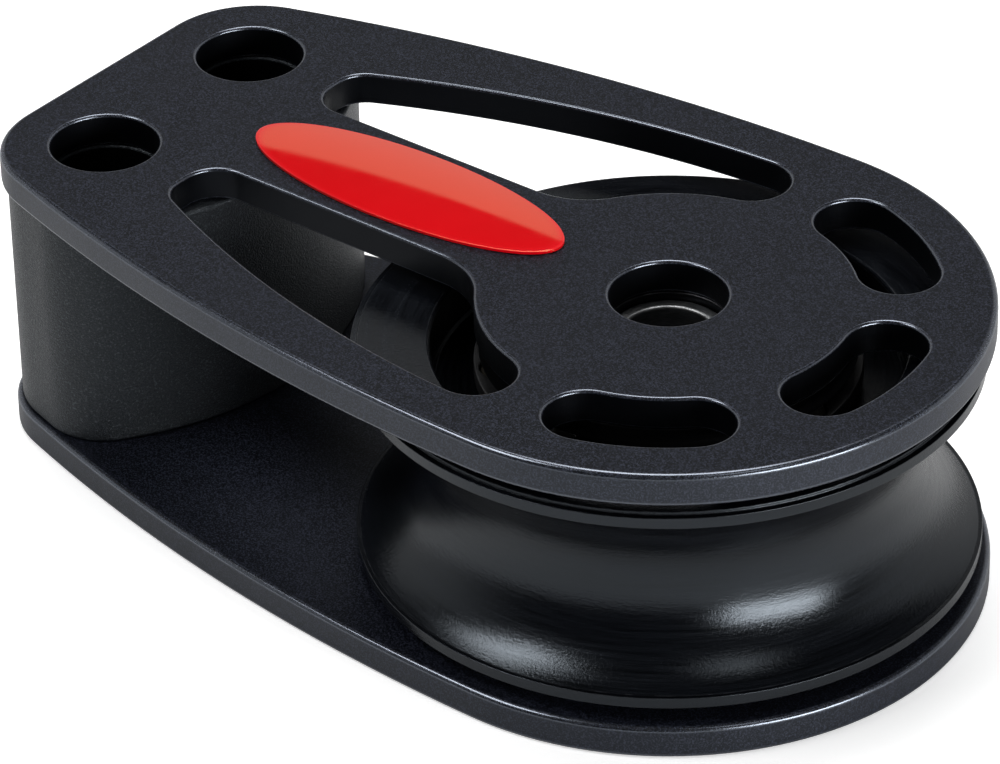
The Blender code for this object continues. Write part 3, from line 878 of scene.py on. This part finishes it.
def add_rings():
    """Inner race, bush and the two thrust washers."""
    race = turned("race_steel", RACE_SHADED_DARK, RACE_SHADED_LIGHT, rough=0.34, metallic=0.9,
                  marks=4200.0, depth=0.000008)
    bush = turned("bush_steel", BUSH_DARK, BUSH_LIGHT, rough=0.42, metallic=1.0,
                  marks=3800.0, depth=0.000010, wear=0.2)
    washer = turned("washer_steel", WASHER_SHADED_DARK, WASHER_SHADED_LIGHT, rough=0.40, metallic=0.8,
                    marks=3600.0, depth=0.000010)
    race_size = (RACE_BORE_R, RACE_R, RACE_BREAK)
    bush_size = (BUSH_BORE_R, BUSH_R, BUSH_BREAK)
    washer_size = (WASHER_IN_R, WASHER_OUT_R, WASHER_BREAK)
    rows = (
        ("race_inner", "inner_race", race_size, race, "race_steel"),
        ("bush_axle", "axle_bush", bush_size, bush, "bush_steel"),
        ("washer_lower", "lower_thrust_washer", washer_size, washer, "washer_steel"),
        ("washer_upper", "upper_thrust_washer", washer_size, washer, "washer_steel"),
    )
    for name, node, (inner, outer, cut), paint, slot in rows:
        low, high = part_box(node)
        half = (high.z - low.z) / 2.0
        shape = lathe(ring_section(inner, outer, half), cut, RING_STEPS)
        mesh = shape.mesh(name, paint)
        piece(name, mesh, "frame", node, (0.0, 0.0, (low.z + high.z) / 2.0))


def polar(index, count, radius):
    """Place and turn of one of a ring of equal pieces."""
    a = 2.0 * math.pi * index / count
    return math.cos(a) * radius, math.sin(a) * radius, a


def add_cages():
    paint = moulded("black_acetal", CAGE_DARK, CAGE_LIGHT, 0.46)
    rim = circle(0.0, 0.0, BALL_CAGE_OUT_R, RING_STEPS)
    holes = [circle(0.0, 0.0, BALL_CAGE_IN_R)]
    for index in range(BALL_COUNT):
        x, y = polar(index, BALL_COUNT, BALL_PITCH_R)[:2]
        holes.append(circle(x, y, BALL_POCKET_R, POCKET_STEPS))
    for side in ("lower", "upper"):
        node = side + "_ball_cage"
        low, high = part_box(node)
        shape = plate_shape(rim, holes, low.z, high.z, BALL_CAGE_ROUND, BALL_POCKET_ROUND)
        name = "cage_balls_" + side
        piece(name, shape.mesh(name, paint), node, node)
    add_roller_cage(paint)


def add_roller_cage(paint):
    """Cylindrical cage with a rectangular pocket for each roller."""
    inner = ROLLER_CAGE_IN_R
    outer = ROLLER_CAGE_OUT_R
    section = ring_section(inner, outer, ROLLER_CAGE_HALF)
    ring = lathe(section, ROLLER_CAGE_BREAK, RING_STEPS).mesh("cage_rollers", paint)
    cutter = Shape()
    half_w = ROLLER_R + POCKET_PLAY
    half_h = ROLLER_HALF + POCKET_PLAY
    for index in range(ROLLER_COUNT):
        x, y = polar(index, ROLLER_COUNT, 1.0)[:2]
        along = Vector((x, y, 0.0))
        across = Vector((-y, x, 0.0)) * half_w
        near = along * (inner - 2.0 * POCKET_PLAY)
        far = along * (outer + POCKET_REACH)
        corners = [near - across, far - across, far + across, near + across]
        low = [c - Vector((0, 0, half_h)) for c in corners]
        high = [c + Vector((0, 0, half_h)) for c in corners]
        bottom = cutter.ring(low, [Vector((0, 0, -1))] * 4, 0.0)
        top = cutter.ring(high, [Vector((0, 0, 1))] * 4, 0.0)
        cutter.join(bottom, top)
        cutter.faces.append(bottom[::-1])
        cutter.faces.append(top)
    tool = bpy.data.objects.new("pocket_tool", cutter.mesh("pocket_tool", paint))
    bpy.context.scene.collection.objects.link(tool)
    blank = bpy.data.objects.new("cage_blank", ring)
    bpy.context.scene.collection.objects.link(blank)
    modifier = blank.modifiers.new("pockets", "BOOLEAN")
    modifier.operation = "DIFFERENCE"
    modifier.solver = "EXACT"
    modifier.object = tool
    bpy.context.view_layer.update()
    ready = blank.evaluated_get(bpy.context.evaluated_depsgraph_get())
    mesh = bpy.data.meshes.new_from_object(ready)
    for obj in (tool, blank):
        bpy.data.objects.remove(obj)
    mesh.set_sharp_from_angle(angle=math.radians(CAGE_SHARP_ANGLE))
    piece("cage_rollers", mesh, "roller_cage", "roller_cage", (0.0, 0.0, MID_Z))


def bearing_piece(node, mesh, at, turn):
    piece("bearing_" + node, mesh, node, node, at, turn)


def add_rollers(paint):
    """Upright rollers round the inner race."""
    half = ROLLER_HALF
    section = [(0.0, -half), (ROLLER_R, -half), (ROLLER_R, half), (0.0, half)]
    shape = lathe(section, ROLLER_BREAK, ROLLER_STEPS, closed=False)
    mesh = shape.mesh("bearing_roller", paint)
    for index in range(ROLLER_COUNT):
        x, y, turn = polar(index, ROLLER_COUNT, ROLLER_PITCH_R)
        bearing_piece("roller_%02d" % (index + 1), mesh, (x, y, MID_Z), (0.0, 0.0, turn))


def add_balls(paint):
    """Balls whose poles lie on their own radial axis."""
    rings = BALL_STEPS // 2
    turns = [math.pi * (index / rings - 0.5) for index in range(1, rings)]
    section = [(BALL_R * math.cos(t), BALL_R * math.sin(t)) for t in turns]
    section = [(0.0, -BALL_R)] + section + [(0.0, BALL_R)]
    shape = lathe(section, BALL_BREAK, BALL_STEPS, closed=False)
    mesh = shape.mesh("bearing_ball", paint)
    for side in ("lower", "upper"):
        for index in range(BALL_COUNT):
            x, y, turn = polar(index, BALL_COUNT, BALL_PITCH_R)
            node = "%s_ball_%02d" % (side, index + 1)
            lying = (0.0, math.pi / 2.0, turn)
            bearing_piece(node, mesh, (x, y, middle(node).z), lying)


def add_rolling_parts():
    """Everything in the bearing that rolls."""
    paint = moulded("bearing_polymer", ROLLING_DARK, ROLLING_LIGHT, 0.38)
    add_rollers(paint)
    add_balls(paint)


# ---- floor, light and camera ----------------------------------------------------------
# Angles are in degrees. The camera's turn is counted from straight in front, at negative y.
CAMERA_TURN = 38.24
CAMERA_RISE = 33.04
CAMERA_ROLL = -0.77
CAMERA_AWAY = 0.690
CAMERA_TARGET = (0.00992, 0.00068, 0.0190)
CAMERA_LENS = 209.4
CAMERA_SHIFT = (-0.0729, 0.00895)
CAMERA_SENSOR = 36.0
CAMERA_CLIP = (0.01, 20.0)

FLOOR_HALF = 6.0
FLOOR_GAP = 0.00005
FLOOR_SHOWN = ((0.88, 0.88, 0.88, 1.0), (0.92, 0.92, 0.92, 1.0))
FLOOR_REFLECTED = (0.80, 0.80, 0.80, 1.0)
FLOOR_GLOW = 0.50
FLOOR_ROUGH = 0.85

LIGHT_AWAY = 1.5
LIGHTS = (
    # name, turn from the camera, rise, size, power
    ("softbox_left", -79.0, 53.0, (0.70, 0.38), 8.5),
    ("softbox_back", 180.0, 74.0, (0.70, 0.70), 13.5),
    ("softbox_right", 33.0, 56.0, (0.40, 0.30), 0.9),
    ("strip_right", 42.0, 9.5, (1.00, 0.34), 18.0),
)
WALL_TOP = 33.5
WALL_SOFT = 1.2
WALL_GLOW = 0.55
WALL_NEAR = 0.03
WALL_TURNS = (-0.25, 0.55)
SKY_GLOW = 0.04
WHITE = (1.0, 1.0, 1.0, 1.0)


def away_from_target(turn, rise):
    """Unit vector toward a viewer at this azimuth and height."""
    a = math.radians(turn)
    e = math.radians(rise)
    return Vector((math.sin(a) * math.cos(e), -math.cos(a) * math.cos(e), math.sin(e)))


def add_floor():
    """Pale floor: whiter to the camera than to the object, and not seen from below."""
    paint = Paint("pale_floor")
    shown = paint.mix(paint.noise(3.0, 2.0), *FLOOR_SHOWN)
    seen = paint.node("ShaderNodeLightPath").outputs["Is Camera Ray"]
    colour = paint.mix(seen, FLOOR_REFLECTED, shown)
    glow = paint.times(seen, FLOOR_GLOW)
    above = paint.minus(1.0, paint.node("ShaderNodeNewGeometry").outputs["Backfacing"])
    material = paint.done(colour, FLOOR_ROUGH, Emission_Color=WHITE, Emission_Strength=glow,
                          Alpha=above)
    mesh = bpy.data.meshes.new("floor")
    half = FLOOR_HALF
    corners = [(-half, -half, 0.0), (half, -half, 0.0), (half, half, 0.0), (-half, half, 0.0)]
    mesh.from_pydata(corners, [], [(0, 1, 2, 3)])
    mesh.materials.append(material)
    floor = bpy.data.objects.new("floor", mesh)
    floor.location.z = -FLOOR_GAP
    bpy.context.scene.collection.objects.link(floor)


def add_light(name, turn, rise, size, power):
    light = bpy.data.lights.new(name, "AREA")
    light.shape = "RECTANGLE"
    light.size = size[0]
    light.size_y = size[1]
    light.energy = power
    obj = bpy.data.objects.new(name, light)
    direction = away_from_target(turn, rise)
    obj.location = Vector(CAMERA_TARGET) + direction * LIGHT_AWAY
    obj.rotation_euler = direction.to_track_quat("Z", "Y").to_euler()
    bpy.context.scene.collection.objects.link(obj)


def add_world():
    """White low surround behind the object, dimmer on the viewer's side and above."""
    world = bpy.data.worlds.new("studio")
    world.use_nodes = True
    tree = world.node_tree
    background = tree.nodes["Background"]
    coords = tree.nodes.new("ShaderNodeTexCoord")
    parts = tree.nodes.new("ShaderNodeSeparateXYZ")
    tree.links.new(coords.outputs["Generated"], parts.inputs[0])
    facing = tree.nodes.new("ShaderNodeVectorMath")
    facing.operation = "DOT_PRODUCT"
    facing.inputs[1].default_value = away_from_target(CAMERA_TURN, 0.0)
    tree.links.new(coords.outputs["Generated"], facing.inputs[0])
    near = tree.nodes.new("ShaderNodeMapRange")
    near.interpolation_type = "SMOOTHSTEP"
    tree.links.new(facing.outputs["Value"], near.inputs["Value"])
    near.inputs["From Min"].default_value = WALL_TURNS[0]
    near.inputs["From Max"].default_value = WALL_TURNS[1]
    near.inputs["To Min"].default_value = WALL_GLOW
    near.inputs["To Max"].default_value = WALL_NEAR
    step = tree.nodes.new("ShaderNodeMapRange")
    step.interpolation_type = "SMOOTHSTEP"
    tree.links.new(parts.outputs[2], step.inputs["Value"])
    step.inputs["From Min"].default_value = math.sin(math.radians(WALL_TOP - WALL_SOFT))
    step.inputs["From Max"].default_value = math.sin(math.radians(WALL_TOP + WALL_SOFT))
    tree.links.new(near.outputs[0], step.inputs["To Min"])
    step.inputs["To Max"].default_value = SKY_GLOW
    tree.links.new(step.outputs[0], background.inputs["Strength"])
    background.inputs["Color"].default_value = WHITE
    bpy.context.scene.world = world


def add_camera():
    """Long lens, shifted, at the set turn, rise and roll."""
    a = math.radians(CAMERA_TURN)
    back = away_from_target(CAMERA_TURN, CAMERA_RISE)
    right = Vector((math.cos(a), math.sin(a), 0.0))
    up = back.cross(right)
    roll = math.radians(CAMERA_ROLL)
    x = right * math.cos(roll) + up * math.sin(roll)
    y = up * math.cos(roll) - right * math.sin(roll)
    camera = bpy.data.cameras.new("camera")
    camera.sensor_width = CAMERA_SENSOR
    camera.lens = CAMERA_LENS
    camera.shift_x, camera.shift_y = CAMERA_SHIFT
    camera.clip_start, camera.clip_end = CAMERA_CLIP
    obj = bpy.data.objects.new("camera", camera)
    where = Vector(CAMERA_TARGET) + back * CAMERA_AWAY
    bpy.context.scene.collection.objects.link(obj)
    turned_to = Matrix((x, y, back)).transposed().to_4x4()
    obj.matrix_world = Matrix.Translation(where) @ turned_to
    bpy.context.scene.camera = obj


add_plates()
add_spacer()
add_badge()
add_sheave()
add_rings()
add_cages()
add_rolling_parts()
add_floor()
add_world()
for name, turn, rise, size, power in LIGHTS:
    add_light(name, CAMERA_TURN + turn, rise, size, power)
add_camera()
bpy.context.scene.view_settings.view_transform = "Standard"
